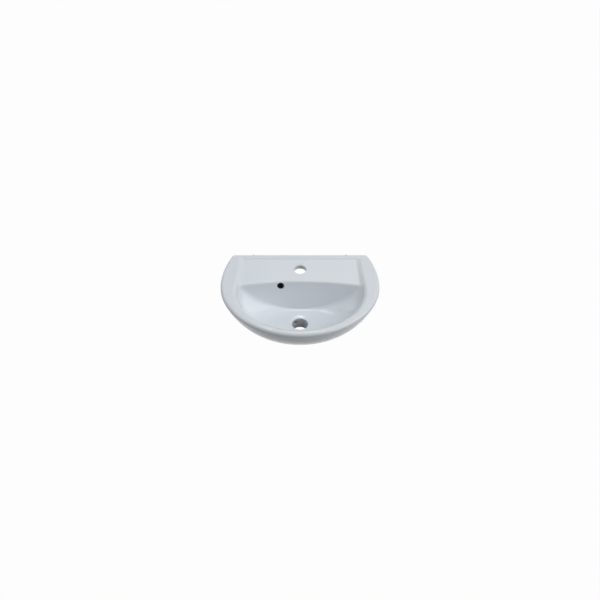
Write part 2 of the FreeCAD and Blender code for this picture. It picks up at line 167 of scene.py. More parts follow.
def ovalOutline(half, middle, front, wallHalf, wallInset, corner):
    # level outline: a long oval arc, a rounded corner at each end of it, and the straight wall edge.
    # Rear reach = middle / sqrt(1 - (wallHalf / half)^2); the corner circle touches the oval and the edge.
    rear = middle / math.sqrt(1 - (wallHalf / half) ** 2)
    low, high = 0.0, math.pi / 2
    for halving in range(grid["cornerHalvings"]):
        angle = (low + high) / 2
        nx, ny = math.cos(angle) / half, math.sin(angle) / rear
        size = math.hypot(nx, ny)
        edgeY = -middle + rear * math.sin(angle) - corner * ny / size
        low, high = (angle, high) if edgeY < -(wallInset + corner) else (low, angle)
    centreX = half * math.cos(angle) - corner * nx / size
    centreY = -(wallInset + corner)
    start = math.atan2(ny / size, nx / size)
    # the arc runs from the right corner round the front to the left corner
    share = np.linspace(0, 1, grid["arc"] + 1)
    sweep = angle - share * (math.pi + 2 * angle)
    reach = np.where(np.sin(sweep) > 0, rear, front - middle)
    arc = np.stack([half * np.cos(sweep), -middle + reach * np.sin(sweep)], 1)
    span = np.hypot(*np.diff(arc, axis=0).T)
    along = np.concatenate([[0], np.cumsum(span)])
    even = np.interp(np.linspace(0, along[-1], grid["arc"] + 1), along, sweep)
    reach = np.where(np.sin(even) > 0, rear, front - middle)
    arc = np.stack([half * np.cos(even), -middle + reach * np.sin(even)], 1)
    turns = np.linspace(start, math.pi / 2, grid["corner"] + 1)[1:]
    left = np.stack([-centreX - corner * np.cos(turns), centreY + corner * np.sin(turns)], 1)
    wall = np.linspace(-centreX, centreX, grid["wall"] + 1)[1:]
    wall = np.stack([wall, np.full(wall.shape, centreY + corner)], 1)
    right = np.stack([centreX + corner * np.cos(turns), centreY + corner * np.sin(turns)], 1)[::-1][1:]
    return np.concatenate([arc, left, wall, right])


def lostToRound(lean):
    # a leaning line that touches the rim's quarter round starts this much further out at the top
    return basin["rimRound"] * (lean + math.hypot(1, lean) - 1)


def wallInsetAt(depth):
    # the rear edge of the rim is rounded too: distance from the wall face at each depth
    under = max(0.0, basin["wallRound"] - depth)
    return basin["wallRound"] - math.sqrt(basin["wallRound"] ** 2 - under ** 2)


def rimOutline(turn):
    # quarter round from the flat top (0) to the widest line (90 degrees)
    inset = basin["rimRound"] * (1 - math.sin(turn))
    depth = basin["rimRound"] * (1 - math.cos(turn))
    wallInset = wallInsetAt(depth)
    return depth, ovalOutline(basin["width"] / 2 - inset, basin["widestLine"], basin["length"] - inset,
                              basin["wallHalf"] - inset, wallInset, basin["cornerRound"])


def skirtOutline(depth, share):
    # straight leaning skirt while share is 0, then the turn under the bowl
    half = mix(basin["width"] / 2 + lostToRound(basin["sideLean"]) - basin["sideLean"] * depth,
               basin["underHalf"], share)
    front = mix(basin["length"] + lostToRound(basin["frontLean"]) - basin["frontLean"] * depth,
                basin["wasteGap"] + basin["underFront"], share)
    middle = mix(basin["widestLine"], basin["wasteGap"], share)
    wallHalf = mix(basin["wallHalf"] + lostToRound(basin["wallLean"]) - basin["wallLean"] * depth,
                   basin["underWall"], share)
    return depth, ovalOutline(half, middle, front, wallHalf, 0.0, basin["cornerRound"])


def level(outline, depth):
    # outline points in the plan, at one depth
    return np.column_stack([outline, np.full(len(outline), basin["rimTop"] - depth)])


def ringAt(directions, radius, depth):
    # circle round the waste hole's axis, with its points in the rays' directions
    points = np.stack([radius * directions[:, 0], radius * directions[:, 1] - basin["wasteGap"]], 1)
    return level(points, depth)


def topRays(outline, directions):
    # rays from the rim inwards to the waste hole: plan point = mix(rim, hole, t), depth from topDepth.
    # Rows crowd where the line bends: density = plain density + bend density * sqrt(bend per mm).
    end = ringAt(directions, waste["radius"] + waste["edgeRound"], 0)[:, :2]
    t = np.linspace(0, 1, grid["fineRows"])[None, :, None]
    plan = outline[:, None] * (1 - t) + end[:, None] * t
    depth = topDepth(plan[..., 0], -plan[..., 1])
    run = np.hypot(*np.moveaxis(np.diff(plan, axis=1), 2, 0))
    drop = np.diff(depth, axis=1)
    length = np.hypot(run, drop)
    tilt = np.arctan2(drop, run)
    bend = np.abs(np.diff(tilt, axis=1)) / ((length[:, 1:] + length[:, :-1]) / 2)
    bend = np.pad(bend, ((0, 0), (1, 0)), mode="edge")
    kernel = np.hanning(2 * grid["evenOut"] + 3)[1:-1]
    density = grid["plainDensity"] + grid["bendDensity"] * np.sqrt(bend)
    padded = np.pad(density, grid["evenOut"], mode="wrap")
    rows = sum(w * padded[:, k:k + density.shape[1]] for k, w in enumerate(kernel / kernel.sum()))
    smooth = sum(w * rows[k:k + density.shape[0]] for k, w in enumerate(kernel / kernel.sum()))
    total = np.pad(np.cumsum(smooth * length, axis=1), ((0, 0), (1, 0)))
    total /= total[:, -1:]
    wanted = np.linspace(0, 1, grid["topRows"])
    # each ray's table is shifted by its own number, so that one interpolation serves them all
    offset = 2.0 * np.arange(len(outline))[:, None]
    share = np.interp((wanted[None] + offset).ravel(), (total + offset).ravel(),
                      np.tile(np.linspace(0, 1, grid["fineRows"]), len(outline))).reshape(len(outline), -1, 1)
    plan = outline[:, None] * (1 - share) + end[:, None] * share
    depth = topDepth(plan[..., 0], -plan[..., 1])
    return [np.column_stack([plan[:, k], basin["rimTop"] - depth[:, k]]) for k in range(grid["topRows"])]


def closedLoft(rows):
    # rows of equal length, each closed on itself, the last joined to the first: a ring-shaped shell
    points = np.concatenate(rows) * mm
    count, size = len(rows), len(rows[0])
    i, j = np.meshgrid(np.arange(count), np.arange(size), indexing="ij")
    ahead, beside = (i + 1) % count, (j + 1) % size
    faces = np.stack([i * size + j, i * size + beside, ahead * size + beside, ahead * size + j], -1)
    return points, faces.reshape(-1, 4)


def meshFrom(name, points, faces, closed=True):
    # object from arrays of points and faces; a closed one gets its normals turned outwards
    mesh = bpy.data.meshes.new(name)
    mesh.vertices.add(len(points))
    mesh.vertices.foreach_set("co", points.astype(np.float32).ravel())
    mesh.loops.add(faces.size)
    mesh.loops.foreach_set("vertex_index", faces.astype(np.int32).ravel())
    mesh.polygons.add(len(faces))
    mesh.polygons.foreach_set("loop_start", np.arange(0, faces.size, faces.shape[1], dtype=np.int32))
    mesh.polygons.foreach_set("loop_total", np.full(len(faces), faces.shape[1], np.int32))
    mesh.update(calc_edges=True)
    mesh.validate()
    if closed:
        bm = bmesh.new()
        bm.from_mesh(mesh)
        bmesh.ops.recalc_face_normals(bm, faces=bm.faces)
        bm.to_mesh(mesh)
        bm.free()
    mesh.shade_smooth()
    piece = bpy.data.objects.new(name, mesh)
    bpy.context.scene.collection.objects.link(piece)
    return piece


def basinRows():
    # rows run round the casting's section: bore, outlet, underside, skirt, rim, then down into the bowl
    rimFlat = rimOutline(0.0)[1]
    away = rimFlat + [0, basin["wasteGap"]]
    directions = away / np.hypot(*away.T)[:, None]
    rows = []
    quarter = np.radians(np.linspace(0, 90, grid["edgeRows"]))
    bore, foot = waste["radius"], waste["bossLow"]
    top = bowl["depth"] + waste["dishDepth"]
    for depth in np.linspace(top + waste["edgeRound"], foot - waste["boreRound"], grid["boreRows"]):
        rows.append(ringAt(directions, bore, depth))
    for turn in quarter[1::2]:
        rows.append(ringAt(directions, bore + waste["boreRound"] * (1 - math.cos(turn)),
                           foot - waste["boreRound"] * (1 - math.sin(turn))))
    for turn in quarter[::2]:
        rows.append(ringAt(directions, waste["bossRadius"] - waste["bossRound"] * (1 - math.sin(turn)),
                           foot - waste["bossRound"] * (1 - math.cos(turn))))
    for turn in quarter:
        rows.append(ringAt(directions, waste["bossRadius"] + waste["rootRound"] * (1 - math.cos(turn)),
                           basin["underDepth"] + waste["rootRound"] * (1 - math.sin(turn))))
    under = skirtOutline(basin["underDepth"], 1.0)[1]
    start = rows[-1][:, :2]
    for share in np.linspace(0, 1, grid["floorRows"])[1:-1]:
        rows.append(level(mix(start, under, share), basin["underDepth"]))
    for angle in np.linspace(90, 0, grid["turnRows"]):
        turn = math.radians(angle)
        depth = mix(basin["skirtHeight"], basin["underDepth"], math.sin(turn))
        rows.append(level(skirtOutline(depth, 1 - math.cos(turn))[1], depth))
    tangent = basin["rimRound"] * (1 + math.sin(math.atan(basin["sideLean"])))
    for depth in np.linspace(basin["skirtHeight"], tangent, grid["skirtRows"])[1:]:
        rows.append(level(skirtOutline(depth, 0.0)[1], depth))
    for turn in np.radians(np.linspace(90, 0, grid["rimRows"])):
        depth, outline = rimOutline(turn)
        rows.append(level(outline, depth))
    rows += topRays(rimFlat, directions)[1:]
    for turn in quarter[1:-1]:
        rows.append(ringAt(directions, bore + waste["edgeRound"] * (1 - math.sin(turn)),
                           top + waste["edgeRound"] * (1 - math.cos(turn))))
    return rows


space = dict(
    lean=math.radians(10), rear=14.0, half=198.1, front=303.1, wallHalf=171.6, casting=12.0,
    round=8.0, below=150.0, middle=62.0, reach=230.0, around=260, rays=1600, halvings=32, edgeRows=7, wallRows=8,
    ceilingShares=(0.25, 0.5, 0.75))

# Overflow hole, and the passage from it to the waste hole. Its rib and its bore are tubes: how much closer to the
# wall they lie, how far they start over the hole, bend under low and end under low, and how far their end is
# from the waste hole's axis.
passage = dict(
    x=-55.4, depth=24.0, holeRadius=10.0, edgeRound=2.2, front=4.0, behind=3.0, radius=7.0, wall=7.0, low=111.0,
    rib=dict(behind=0.4, rise=5.0, drop=0.5, fall=3.4, away=29.0),
    bore=dict(behind=0.0, rise=4.0, drop=0.0, fall=2.5, away=12.0), holeCount=56, count=40)

tap = dict(gap=57.0, radius=17.5, edgeRound=2.2, count=72)

notch = dict(
    half=96.0, topDepth=34.0, corner=16.0, cornerSteps=9, spread=4.0, low=150.0, before=9.0, land=1.0, beyond=8.0)

fixing = dict(half=140.0, holeRadius=11.0, reach=30.0, count=48)

flare = dict(steps=9, lift=0.012, reach=6.0)

ribRadius = passage["radius"] + passage["wall"]


def turned(profile, origin, axis, count):
    # profile of (radius, along) turned about an axis; the first and last points lie on the axis
    axis = np.array(axis, float) / np.linalg.norm(axis)
    side = np.cross(axis, (1.0, 0.0, 0.0) if abs(axis[0]) < 0.9 else (0.0, 1.0, 0.0))
    side /= np.linalg.norm(side)
    other = np.cross(axis, side)
    angle = np.linspace(0, 2 * math.pi, count, endpoint=False)
    spoke = np.cos(angle)[:, None] * side + np.sin(angle)[:, None] * other
    profile = np.array(profile, float)
    rings = profile[1:-1]
    points = np.array(origin, float) + rings[:, 1][:, None, None] * axis + rings[:, 0][:, None, None] * spoke
    ends = np.array(origin, float) + profile[[0, -1], 1][:, None] * axis
    return capped(points.reshape(-1, 3), len(rings), count, ends)


def capped(points, rows, size, ends):
    # rows of closed rings with a point at each end: quads between rings, triangles at the ends
    i, j = np.meshgrid(np.arange(rows - 1), np.arange(size), indexing="ij")
    beside = (j + 1) % size
    quads = np.stack([i * size + j, (i + 1) * size + j, (i + 1) * size + beside, i * size + beside], -1)
    quads = quads.reshape(-1, 4)
    k = np.arange(size)
    first, last = len(points), len(points) + 1
    fans = np.concatenate([np.stack([np.full(size, first), k, (k + 1) % size], -1),
                           np.stack([np.full(size, last), (rows - 1) * size + (k + 1) % size,
                                     (rows - 1) * size + k], -1)])
    split = np.concatenate([quads[:, [0, 1, 2]], quads[:, [0, 2, 3]], fans])
    return np.concatenate([points, ends]) * mm, split


def flaredMouth(radius, edge, reach):
    # upper end of a bore's profile, from reach over the surface down: its edge opens in a quarter round
    turns = np.radians(np.linspace(90, 0, flare["steps"]))
    mouth = np.stack([radius + edge * (1 - np.cos(turns)), flare["lift"] - edge * (1 - np.sin(turns))], 1)
    return np.concatenate([[[0, reach], [radius + edge, reach]], mouth])


def throughBore(radius, edge, thickness, reach):
    # profile of a bore with both mouths flared, from 0 down to the far side of the thickness
    upper = flaredMouth(radius, edge, reach)
    return np.concatenate([upper, upper[::-1] * [1, -1] - [0, thickness]])


def passageTube(radius, behind, rise, drop, fall, away):
    # round tube down behind the bowl's back wall, mitred, then under the floor towards the waste
    def place(depth):
        wallGap = backWallGap(passage["x"], depth, space["lean"])
        return np.array([passage["x"], ribRadius + behind - wallGap, basin["rimTop"] - depth])

    corner = place(passage["low"] + drop)
    centre = np.array([0.0, -basin["wasteGap"], basin["rimTop"] - (passage["low"] + fall)])
    back = corner - centre
    path = [place(passage["depth"] - rise), corner, centre + back * away / np.hypot(back[0], back[1])]
    down, over = [(b - a) / np.linalg.norm(b - a) for a, b in zip(path, path[1:])]
    flat = np.cross(down, over)
    flat /= np.linalg.norm(flat)
    angle = np.linspace(0, 2 * math.pi, passage["count"], endpoint=False)[:, None]
    rings = [point + radius * (np.cos(angle) * flat + np.sin(angle) * np.cross(along, flat))
             for point, along in zip(path, (down, down, over))]
    mitre = (over + down) / np.linalg.norm(over + down)
    rings[1] = rings[1] - ((rings[1] - path[1]) @ mitre / (down @ mitre))[:, None] * down
    return capped(np.concatenate(rings), 3, passage["count"], np.array([path[0], path[-1]]))


def ceilingDepth(gap):
    # underside of the deck, parallel to its top
    return deck["rearDrop"] + (gap - deck["lip"]) * deck["fall"] + deck["underside"]


def spaceDistance(x, gap, depth):
    # under 0 in the space behind the bowl: back of the bowl, mounting wall and the two cheeks
    rear = basin["widestLine"] / math.sqrt(1 - (space["wallHalf"] / space["half"]) ** 2)
    reach = np.where(gap > basin["widestLine"], space["front"] - basin["widestLine"], rear)
    q = np.hypot(x / space["half"], (gap - basin["widestLine"]) / reach)
    cheek = (q - 1) * space["half"]
    radius = bowl["wallRadius"]
    curve = radius - np.sqrt((radius + space["casting"]) ** 2 - x ** 2)
    front = bowl["wallGap"] + curve / math.cos(space["lean"]) + depth * math.tan(space["lean"])
    wide = roundMax(cheek, space["rear"] - gap, space["round"])
    return roundMax(wide, (gap - front) * math.cos(space["lean"]), space["round"])


def spaceOutline(depthAt, inset):
    # closed level line of the space, from rays about its middle, evened out along its length
    middle, limit = space["middle"], space["reach"]
    angle = np.linspace(0, 2 * math.pi, space["rays"] + 1)[:-1]
    low, high = np.zeros(angle.shape), np.full(angle.shape, limit)
    for halving in range(space["halvings"]):
        reach = (low + high) / 2
        x, gap = reach * np.cos(angle), middle - reach * np.sin(angle)
        outside = spaceDistance(np.clip(x, -limit, limit), gap, depthAt(gap)) > -inset
        low, high = np.where(outside, low, reach), np.where(outside, reach, high)
    line = np.stack([reach * np.cos(angle), -middle + reach * np.sin(angle)], 1)
    line = np.concatenate([line, line[:1]])
    along = np.concatenate([[0], np.cumsum(np.hypot(*np.diff(line, axis=0).T))])
    even = np.linspace(0, along[-1], space["around"] + 1)[:-1]
    line = np.stack([np.interp(even, along, line[:, 0]), np.interp(even, along, line[:, 1])], 1)
    return np.column_stack([line, basin["rimTop"] - depthAt(-line[:, 1])])


def spaceBehindBowl():
    # flat ceiling, a rounded edge, then the walls straight down through the underside
    rows = []
    turns = np.radians(np.linspace(0, 90, space["edgeRows"]))
    edge = spaceOutline(ceilingDepth, space["round"])
    centre = np.array([0.0, -space["middle"]])
    for share in space["ceilingShares"]:
        plan = centre + share * (edge[:, :2] - centre)
        rows.append(np.column_stack([plan, basin["rimTop"] - ceilingDepth(-plan[:, 1])]))
    for turn in turns:
        drop = space["round"] * (1 - math.cos(turn))
        rows.append(spaceOutline(lambda gap: ceilingDepth(gap) + drop, space["round"] * (1 - math.sin(turn))))
    for share in np.linspace(0, 1, space["wallRows"])[1:]:
        rows.append(spaceOutline(lambda gap: mix(ceilingDepth(gap) + space["round"], space["below"], share), 0.0))
    ends = np.array([[*centre, basin["rimTop"] - depth] for depth in (ceilingDepth(space["middle"]), space["below"])])
    return capped(np.concatenate(rows), len(rows), space["around"], ends)


def wallNotch():
    # open middle of the mounting wall: an arch with rounded corners, slightly wider towards the wall
    turns = np.radians(np.linspace(0, 90, notch["cornerSteps"]))
    rows = []
    for y, spread in ((-space["rear"] - notch["before"], 0.0), (-space["rear"], 0.0),
                      (-notch["land"], notch["spread"]), (notch["beyond"], notch["spread"] + notch["land"])):
        half, corner = notch["half"] + spread, notch["corner"] + spread
        top = basin["rimTop"] - notch["topDepth"] + spread
        right = np.stack([half - corner + corner * np.cos(turns), top - corner + corner * np.sin(turns)], 1)
        left = right[::-1] * [-1, 1]
        low = basin["rimTop"] - notch["low"]
        line = np.concatenate([[[half, low]], right, left, [[-half, low]]])
        rows.append(np.column_stack([line[:, 0], np.full(len(line), y), line[:, 1]]))
    ends = np.array([[0, rows[0][0, 1], 0.0], [0, rows[-1][0, 1], 0.0]])
    return capped(np.concatenate(rows), len(rows), len(rows[0]), ends)


def carve(piece, points, faces, operation):
    # boolean with a closed shape, kept as the piece's own mesh
    tool = meshFrom("tool", points, faces)
    change = piece.modifiers.new("carve", "BOOLEAN")
    change.operation, change.solver, change.object = operation, "MANIFOLD", tool
    bpy.context.view_layer.update()
    made = bpy.data.meshes.new_from_object(piece.evaluated_get(bpy.context.evaluated_depsgraph_get()))
    piece.modifiers.clear()
    old, piece.data = piece.data, made
    bpy.data.meshes.remove(old)
    bpy.data.meshes.remove(tool.data)
    print(piece.name, operation.lower(), "->", len(made.polygons), "faces")


china = meshFrom("glazed_basin", *closedLoft(basinRows()))
carve(china, *spaceBehindBowl(), "DIFFERENCE")
carve(china, *wallNotch(), "DIFFERENCE")
carve(china, *passageTube(ribRadius, **passage["rib"]), "UNION")
fallAngle = math.atan(deck["fall"])
tapAxis = np.array([0, -math.sin(fallAngle), math.cos(fallAngle)])
tapSeat = np.array([0, -tap["gap"], basin["rimTop"] - deckSurface(np.array(0.0), np.array(tap["gap"]))])
bore = throughBore(tap["radius"], tap["edgeRound"], deck["underside"], flare["reach"])
carve(china, *turned(bore, tapSeat, tapAxis, tap["count"]), "DIFFERENCE")
slope = passage["x"] / math.sqrt(bowl["wallRadius"] ** 2 - passage["x"] ** 2) / math.cos(bowl["wallLean"])
overflowAxis = np.array([-slope, -1, math.tan(bowl["wallLean"])])
overflowSeat = np.array([passage["x"], -backWallGap(passage["x"], passage["depth"]),
                         basin["rimTop"] - passage["depth"]])
inside = -ribRadius - passage["behind"]
bore = np.concatenate([flaredMouth(passage["holeRadius"], passage["edgeRound"], passage["front"]),
                       [[passage["holeRadius"], inside], [0, inside]]])
carve(china, *turned(bore, overflowSeat, overflowAxis, passage["holeCount"]), "DIFFERENCE")
carve(china, *passageTube(passage["radius"], **passage["bore"]), "DIFFERENCE")
radius, reach = fixing["holeRadius"], fixing["reach"]
bore = [[0, reach], [radius, reach], [radius, -reach], [0, -reach]]
for side in (-1, 1):
    carve(china, *turned(bore, (side * fixing["half"], 0, 0), (0, 1, 0), fixing["count"]), "DIFFERENCE")
china.data.shade_smooth()
china.data.set_sharp_from_angle(angle=math.radians(basin["sharp"]))
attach(china, "root")
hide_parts("ceramic_basin")
print("basin surface:", len(china.data.vertices), "points")

# Wall fixings, along Y: the wall is at positive Y, and out from the china come a bush, a washer and a nut
bolt = dict(
    radius=5.0, root=4.12, pitch=1.5, sharpness=1.3, front=-34.0, chamfer=1.0,
    threadEnd=-12.0, plainStart=-9.5, plainRadius=4.95, shoulder=6.0, runIn=1.5,
    screwRadius=4.0, screwRoot=2.9, screwPitch=3.6, screwSharpness=3.0, crest=1.15,
    end=62.0, taper=9.0, pointPower=0.8, pointRadius=0.05, around=40, rows=760, sharp=60)

nut = dict(
    flats=17.0, height=8.0, back=-19.0, bore=5.3, countersink=0.6, rim=0.1, chamferSlope=0.6,
    chamferSteps=6, sideSteps=3, around=180, sharp=18)

washer = dict(
    radius=14.0, hole=5.3, thickness=2.0, back=-17.0, edge=0.45, edgeSteps=5, burr=0.1, around=96, sharp=25)

bush = dict(
    flange=16.5, flangeThickness=3.0, chamfer=0.8, flangeEdge=0.2, sleeve=10.7, end=-0.3, endEdge=0.5,
    wall=-14.0, hole=5.3, holeEdge=0.3, around=96, sharp=25)

plug = dict(
    radius=7.0, rib=0.35, ribStart=5.0, ribPitch=4.0, ribStep=0.4, ribShare=0.6, length=66.0, tip=6.0,
    taper=1.5, mouth=5.3, bore=4.1, mouthDepth=8.0, mouthCone=1.0, slot=1.6, slotStart=30.0,
    beyond=5.0, across=20.0, around=72, sharp=25)


def spun(profile, around, radiusAt=None):
    # closed section of (radius, y) turned about Y; radiusAt may cut the radius down by direction
    profile = np.array(profile, float)
    angle = np.linspace(0, 2 * math.pi, around, endpoint=False)
    radius = np.repeat(profile[:, :1], around, 1)
    if radiusAt is not None:
        radius = np.minimum(radius, radiusAt(angle)[None])
    points = np.stack([radius * np.cos(angle), np.repeat(profile[:, 1:], around, 1), radius * np.sin(angle)], -1)
    return closedLoft(list(points))


def boltSurface():
    # helical threads: radius = mix(root, crest, triangle wave of (y / pitch - angle / turn)), flattened at crests
    y = np.linspace(bolt["front"], bolt["end"], bolt["rows"])[:, None]
    angle = np.linspace(0, 2 * math.pi, bolt["around"], endpoint=False)[None]
    turn = angle / (2 * math.pi)

    def wave(pitch, sharp):
        return np.clip(bolt["crest"] - sharp * np.abs(2 * ((y / pitch - turn) % 1) - 1), 0, 1)

    machine = mix(bolt["root"], bolt["radius"], wave(bolt["pitch"], bolt["sharpness"]))
    wood = mix(bolt["screwRoot"], bolt["screwRadius"], wave(bolt["screwPitch"], bolt["screwSharpness"]))
    radius = mix(machine, bolt["plainRadius"], smoothStep(y, bolt["threadEnd"], bolt["plainStart"]))
    radius = mix(radius, wood, smoothStep(y, bolt["shoulder"], bolt["shoulder"] + bolt["runIn"]))
    front = bolt["radius"] - bolt["chamfer"] + (y - bolt["front"])
    point = bolt["screwRadius"] * np.clip((bolt["end"] - y) / bolt["taper"], 0, 2) ** bolt["pointPower"]
    radius = np.minimum(np.minimum(radius, front), np.maximum(point, bolt["pointRadius"]))
    points = np.stack([radius * np.cos(angle), y + 0 * angle, radius * np.sin(angle)], -1)
    ends = np.array([[0, bolt["front"], 0], [0, bolt["end"], 0]])
    return capped(points.reshape(-1, 3), bolt["rows"], bolt["around"], ends)


def hexAt(angle):
    # distance to the flats of a hexagon with a corner along X, in each direction
    return nut["flats"] / 2 / np.cos((angle % (math.pi / 3)) - math.pi / 6)


def nutSurface():
    # turned section with chamfered faces, cut to the hexagon in each direction
    corner, flat = nut["flats"] / math.sqrt(3), nut["flats"] / 2
    back, front = nut["back"], nut["back"] - nut["height"]
    start, lean = flat - nut["rim"], (corner - flat) * nut["chamferSlope"]
    steps, sides = nut["chamferSteps"], nut["sideSteps"]
    outside = [[mix(start, corner, k / steps), front + lean * k / steps] for k in range(steps + 1)]
    outside += [[corner, mix(front + lean, back - lean, k / sides)] for k in range(1, sides)]
    outside += [[mix(corner, start, k / steps), back - lean + lean * k / steps] for k in range(steps + 1)]
    sink = nut["countersink"]
    inside = [[nut["bore"] + sink, back], [nut["bore"], back - sink], [nut["bore"], front + sink],
              [nut["bore"] + sink, front]]
    return spun(outside + inside, nut["around"], hexAt)


def washerSurface():
    # stamped disc: rounded edge towards the nut, sharp edge towards the bush
    back, front = washer["back"], washer["back"] - washer["thickness"]
    turns = np.radians(np.linspace(0, 90, washer["edgeSteps"]))
    edge, burr = washer["edge"], washer["burr"]
    outside = [[washer["radius"] - edge * (1 - math.sin(t)), front + edge * (1 - math.cos(t))] for t in turns]
    inside = [[washer["radius"], back - burr], [washer["radius"] - burr, back], [washer["hole"], back]]
    inside += [[washer["hole"] + edge * (1 - math.cos(t)), front + edge * (1 - math.sin(t))] for t in turns]
    return spun(outside + inside, washer["around"])


def bushSurface():
    # flange with a chamfered edge, then the sleeve through the china
    wall, flange, chamfer = bush["wall"], bush["flange"], bush["chamfer"]
    edge, endEdge, holeEdge = bush["flangeEdge"], bush["endEdge"], bush["holeEdge"]
    sleeve, end, hole = bush["sleeve"], bush["end"], bush["hole"]
    front = wall - bush["flangeThickness"]
    outline = [[flange - chamfer, front], [flange, front + chamfer], [flange, wall - edge], [flange - edge, wall],
               [sleeve, wall], [sleeve, end - endEdge], [sleeve - endEdge, end],
               [hole, end], [hole, front + holeEdge], [hole + holeEdge, front]]
    return spun(outline, bush["around"])


def plugSurface():
    # ribs round the outside are short cones that rise towards the wall face, then a tapered tip
    radius, rib = plug["radius"], plug["rib"]
    outside = [[radius, 0.0], [radius, plug["ribStart"]]]
    pitch, share = plug["ribPitch"], plug["ribShare"]
    for start in np.arange(plug["ribStart"], plug["length"] - plug["tip"] - pitch, pitch):
        outside += [[radius - rib, start + plug["ribStep"]], [radius - share * rib, start + share * pitch],
                    [radius, start + pitch]]
    outside += [[radius - rib, plug["length"] - plug["tip"]], [radius - plug["taper"], plug["length"]]]
    inside = [[plug["bore"], plug["length"]], [plug["bore"], plug["mouthDepth"] + plug["mouthCone"]],
              [plug["mouth"], plug["mouthDepth"]], [plug["mouth"], 0.0]]
    return spun(outside + inside, plug["around"])


def block(low, high):
    # closed box between two corners
    x, y, z = zip(low, high)
    corners = np.array([(x[i], y[j], z[k]) for k in (0, 1) for i, j in ((0, 0), (1, 0), (1, 1), (0, 1))], float)
    return capped(corners, 2, 4, np.array([[sum(x) / 2, sum(y) / 2, z[0]], [sum(x) / 2, sum(y) / 2, z[1]]]))


def fixingPiece(name, side, surface, sizes):
    # surface moved to the left or right fixing hole, in the place of the CAD piece
    points, faces = surface
    piece = meshFrom("detailed_" + name + "_" + side, points + np.array([fixingX[side] * mm, 0, 0]), faces)
    piece.data.set_sharp_from_angle(angle=math.radians(sizes["sharp"]))
    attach(piece, "root")
    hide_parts(name + "_" + side)
    return piece


def cutSlots(sleeve, x):
    # two slots across each other, from slotStart out through the plug's end
    half, across, end = plug["slot"] / 2, plug["across"], plug["length"] + plug["beyond"]
    for wide, high in ((half, across), (across, half)):
        carve(sleeve, *block((x - wide, plug["slotStart"], -high), (x + wide, end, high)), "DIFFERENCE")
    sleeve.data.set_sharp_from_angle(angle=math.radians(plug["sharp"]))


fixingX = dict(left=-fixing["half"], right=fixing["half"])
metalPieces, nylonPieces, bushPieces = [], [], []
for side in ("left", "right"):
    metalPieces.append(fixingPiece("hanger_bolt", side, boltSurface(), bolt))
    metalPieces.append(fixingPiece("washer", side, washerSurface(), washer))
    metalPieces.append(fixingPiece("hex_nut", side, nutSurface(), nut))
    bushPieces.append(fixingPiece("fixing_bush", side, bushSurface(), bush))
    nylonPieces.append(fixingPiece("wall_plug", side, plugSurface(), plug))
    cutSlots(nylonPieces[-1], fixingX[side])
print("wall fixings:", len(metalPieces + nylonPieces + bushPieces), "pieces")


# Materials and light. Nearly all of a noise's values lie in noiseSpan.
noiseSpan = (0.3, 0.7)


def material(name, pieces, metallic=0.0, roughness=0.5):
    # new node material on the pieces
    made = bpy.data.materials.new(name)
    made.use_nodes = True
    shader = made.node_tree.nodes["Principled BSDF"]
    shader.inputs["Roughness"].default_value = roughness
    shader.inputs["Metallic"].default_value = metallic
    for piece in pieces:
        piece.data.materials.clear()
        piece.data.materials.append(made)
    return made.node_tree, shader


def add(tree, kind, **values):
    # node with some of its sockets or settings filled in
    node = tree.nodes.new(kind)
    for key, value in values.items():
        if hasattr(node, key):
            setattr(node, key, value)
        else:
            node.inputs[key].default_value = value
    return node


def noise(tree, scale, detail=2.0):
    # noise over the piece's own coordinates, in metres
    place = add(tree, "ShaderNodeTexCoord")
    made = add(tree, "ShaderNodeTexNoise", Scale=scale, Detail=detail)
    tree.links.new(place.outputs["Object"], made.inputs["Vector"])
    return made.outputs["Fac"]


def ramp(tree, factor, stops):
    # colour by position along a ramp with two stops
    made = add(tree, "ShaderNodeValToRGB")
    for element, (at, color) in zip(made.color_ramp.elements, stops):
        element.position, element.color = at, (*color, 1)
    tree.links.new(factor, made.inputs["Fac"])
    return made.outputs["Color"]


def spread(tree, factor, low, high):
    # noise stretched from low to high
    made = add(tree, "ShaderNodeMapRange")
    made.inputs["From Min"].default_value, made.inputs["From Max"].default_value = noiseSpan
    made.inputs["To Min"].default_value, made.inputs["To Max"].default_value = low, high
    tree.links.new(factor, made.inputs["Value"])
    return made.outputs["Result"]


def bump(tree, shader, factor, depth):
    # surface raised by up to depth where factor is 1
    made = add(tree, "ShaderNodeBump", Strength=1.0, Distance=depth)
    tree.links.new(factor, made.inputs["Height"])
    tree.links.new(made.outputs["Normal"], shader.inputs["Normal"])


def mottled(tree, factor, color, dark):
    # colour that drops to its dark share in spots
    return ramp(tree, factor, zip(noiseSpan, (tuple(dark * c for c in color), color)))


def calculate(tree, operation, *values):
    # math node on sockets and numbers
    made = add(tree, "ShaderNodeMath", operation=operation)
    for socket, value in zip(made.inputs, values):
        if isinstance(value, bpy.types.NodeSocket):
            tree.links.new(value, socket)
        else:
            socket.default_value = value
    return made.outputs[0]


def within(tree, centre, radii):
    # 1 inside an ellipsoid, or inside a cylinder along the axis whose radius is 0
    place = add(tree, "ShaderNodeTexCoord")
    shift = add(tree, "ShaderNodeVectorMath", operation="SUBTRACT")
    shift.inputs[1].default_value = centre
    scale = add(tree, "ShaderNodeVectorMath", operation="MULTIPLY")
    scale.inputs[1].default_value = [1 / r if r else 0 for r in radii]
    length = add(tree, "ShaderNodeVectorMath", operation="LENGTH")
    tree.links.new(place.outputs["Object"], shift.inputs[0])
    tree.links.new(shift.outputs["Vector"], scale.inputs[0])
    tree.links.new(scale.outputs["Vector"], length.inputs[0])
    return calculate(tree, "LESS_THAN", length.outputs["Value"], 1.0)


